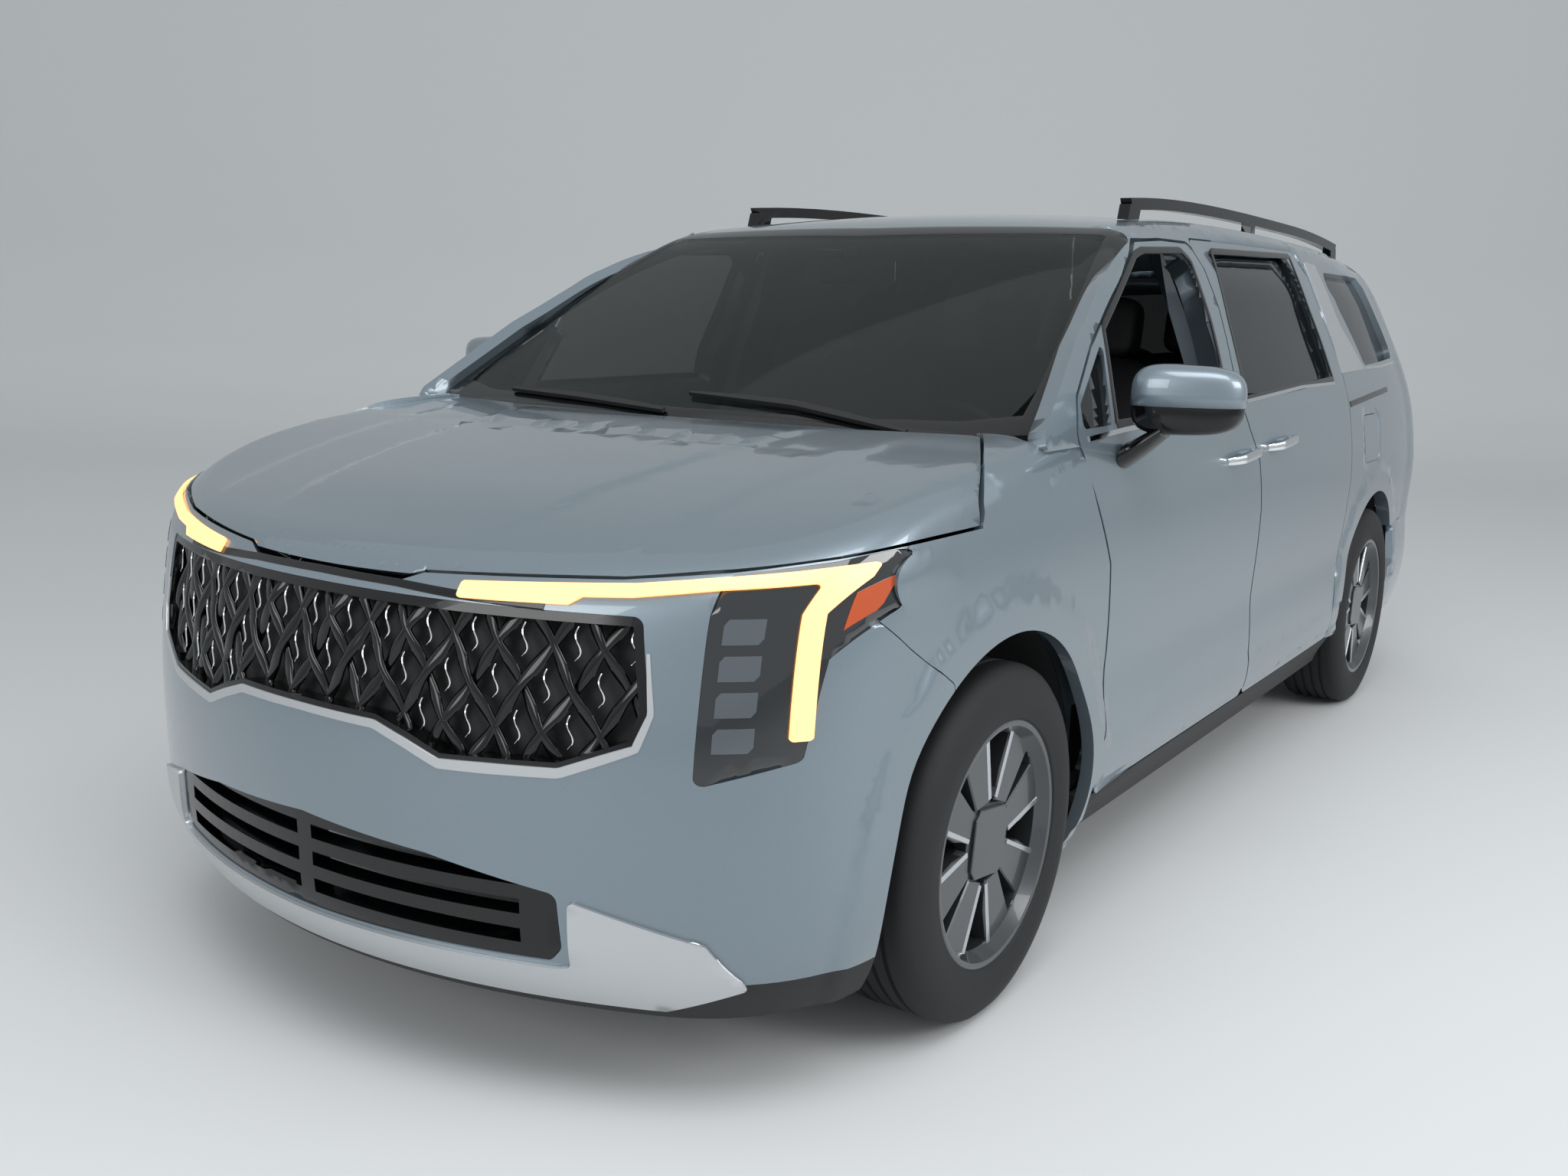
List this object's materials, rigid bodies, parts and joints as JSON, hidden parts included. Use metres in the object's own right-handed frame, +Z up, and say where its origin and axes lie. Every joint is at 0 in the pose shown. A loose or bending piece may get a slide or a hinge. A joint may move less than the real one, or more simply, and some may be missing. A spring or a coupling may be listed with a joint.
{
  "type": "minivan",
  "caption": "Full-size minivan with woven grille, sliding side doors, hinged front doors, hood, tailgate, steering and free-turning wheels.",
  "frame": {"origin": "on the ground, midway along the length and width", "axes": "+X forward, +Y to the vehicle's left, +Z up"},
  "size_m": [5.1549, 2.415, 1.7718],
  "materials": {
    "paint": "metallic clear-coated",
    "glass": "clear",
    "privacy_glass": "tinted",
    "lamp_lens": "smoked clear",
    "light_strip": "lit amber-white",
    "tail_lens": "clear red",
    "satin_trim": "satin",
    "gloss_black": "gloss",
    "black_plastic": "grained",
    "chassis": "satin",
    "engine_metal": "cast",
    "dash_plastic": "grained",
    "seat_fabric": "woven",
    "wheel_grip": "smooth",
    "rail_black": "gloss",
    "mirror_shell": "clear-coated",
    "tyre": "matte",
    "wheel_alloy": "machined and painted"
  },
  "bodies": {
    "body": {"body_side_left": "paint", "body_side_right": "paint", "cowl_panel": "black_plastic", "dashboard": "dash_plastic", "engine_block": "engine_metal", "exhaust": "engine_metal", "floor_pan": "chassis", "front_bumper": "paint", "front_fenders": "paint", "front_seats": "seat_fabric", "front_skid_trim": "satin_trim", "front_subframe": "chassis", "fuel_tank": "black_plastic", "grille_lattice": "gloss_black", "grille_surround": "satin_trim", "headlamps": "lamp_lens", "light_strips": "light_strip", "lower_grille": "black_plastic", "middle_seats": "seat_fabric", "rear_axle": "chassis", "rear_bench": "seat_fabric", "rear_bumper": "paint", "roof_panel": "paint", "roof_rails": "rail_black", "side_glass": "privacy_glass", "sill_cladding": "black_plastic", "sliding_door_left": "paint", "sliding_door_right": "paint", "tail_lamps": "tail_lens", "wheel_arch_liners": "black_plastic", "windshield": "glass"},
    "hood": {"hood": "paint"},
    "front_door_left": {"front_door_left": "paint", "door_triangle_left": "glass", "mirror_left": "mirror_shell"},
    "front_door_right": {"front_door_right": "paint", "door_triangle_right": "glass", "front_window_right": "glass", "mirror_right": "mirror_shell"},
    "tailgate": {"tailgate": "paint", "tailgate_glass": "privacy_glass"},
    "fuel_flap": {"fuel_flap": "paint"},
    "steering_wheel": {"steering_wheel": "wheel_grip"},
    "knuckle_left": {"knuckle_left": "engine_metal"},
    "knuckle_right": {"knuckle_right": "engine_metal"},
    "wheel_front_left": {"tyre_front_left": "tyre", "rim_front_left": "wheel_alloy"},
    "wheel_front_right": {"tyre_front_right": "tyre", "rim_front_right": "wheel_alloy"},
    "wheel_rear_left": {"tyre_rear_left": "tyre", "rim_rear_left": "wheel_alloy"},
    "wheel_rear_right": {"tyre_rear_right": "tyre", "rim_rear_right": "wheel_alloy"}
  },
  "joints": [
    {"name": "hood_hinge", "type": "hinge", "parent": "body", "child": "hood", "pos_m": [1.43, 0, 1.185], "axis": [0, -1, 0], "range_deg": [0, 55]},
    {"name": "front_door_left_hinge", "type": "hinge", "parent": "body", "child": "front_door_left", "pos_m": [1.073, 0.975, 0.7], "axis": [0, 0, -1], "range_deg": [0, 65]},
    {"name": "front_door_right_hinge", "type": "hinge", "parent": "body", "child": "front_door_right", "pos_m": [1.073, -0.975, 0.7], "axis": [0, 0, 1], "range_deg": [0, 65]},
    {"name": "tailgate_hinge", "type": "hinge", "parent": "body", "child": "tailgate", "pos_m": [-2.258, 0, 1.662], "axis": [0, 1, 0], "range_deg": [0, 80]},
    {"name": "fuel_flap_hinge", "type": "hinge", "parent": "body", "child": "fuel_flap", "pos_m": [-1.238, 0.984, 1.01], "axis": [0, 0, -1], "range_deg": [0, 80]},
    {"name": "steering_turn", "type": "hinge", "parent": "body", "child": "steering_wheel", "pos_m": [0.77, 0.39, 1.0266], "axis": [-0.9063, 0, 0.4226], "range_deg": [-540, 540]},
    {"name": "steer_left", "type": "hinge", "parent": "body", "child": "knuckle_left", "pos_m": [1.6425, 0.79, 0.37], "axis": [0, 0, 1], "range_deg": [-35, 35]},
    {"name": "steer_right", "type": "hinge", "parent": "body", "child": "knuckle_right", "pos_m": [1.6425, -0.79, 0.37], "axis": [0, 0, 1], "range_deg": [-35, 35]},
    {"name": "wheel_front_left_spin", "type": "hinge", "parent": "knuckle_left", "child": "wheel_front_left", "pos_m": [1.6425, 0.87, 0.37], "axis": [0, 1, 0], "continuous": true},
    {"name": "wheel_front_right_spin", "type": "hinge", "parent": "knuckle_right", "child": "wheel_front_right", "pos_m": [1.6425, -0.87, 0.37], "axis": [0, 1, 0], "continuous": true},
    {"name": "wheel_rear_left_spin", "type": "hinge", "parent": "body", "child": "wheel_rear_left", "pos_m": [-1.4475, 0.87, 0.37], "axis": [0, 1, 0], "continuous": true},
    {"name": "wheel_rear_right_spin", "type": "hinge", "parent": "body", "child": "wheel_rear_right", "pos_m": [-1.4475, -0.87, 0.37], "axis": [0, 1, 0], "continuous": true}
  ],
  "couplings": [
    {"joint": "steer_right", "follows": "steer_left", "ratio": 1}
  ]
}
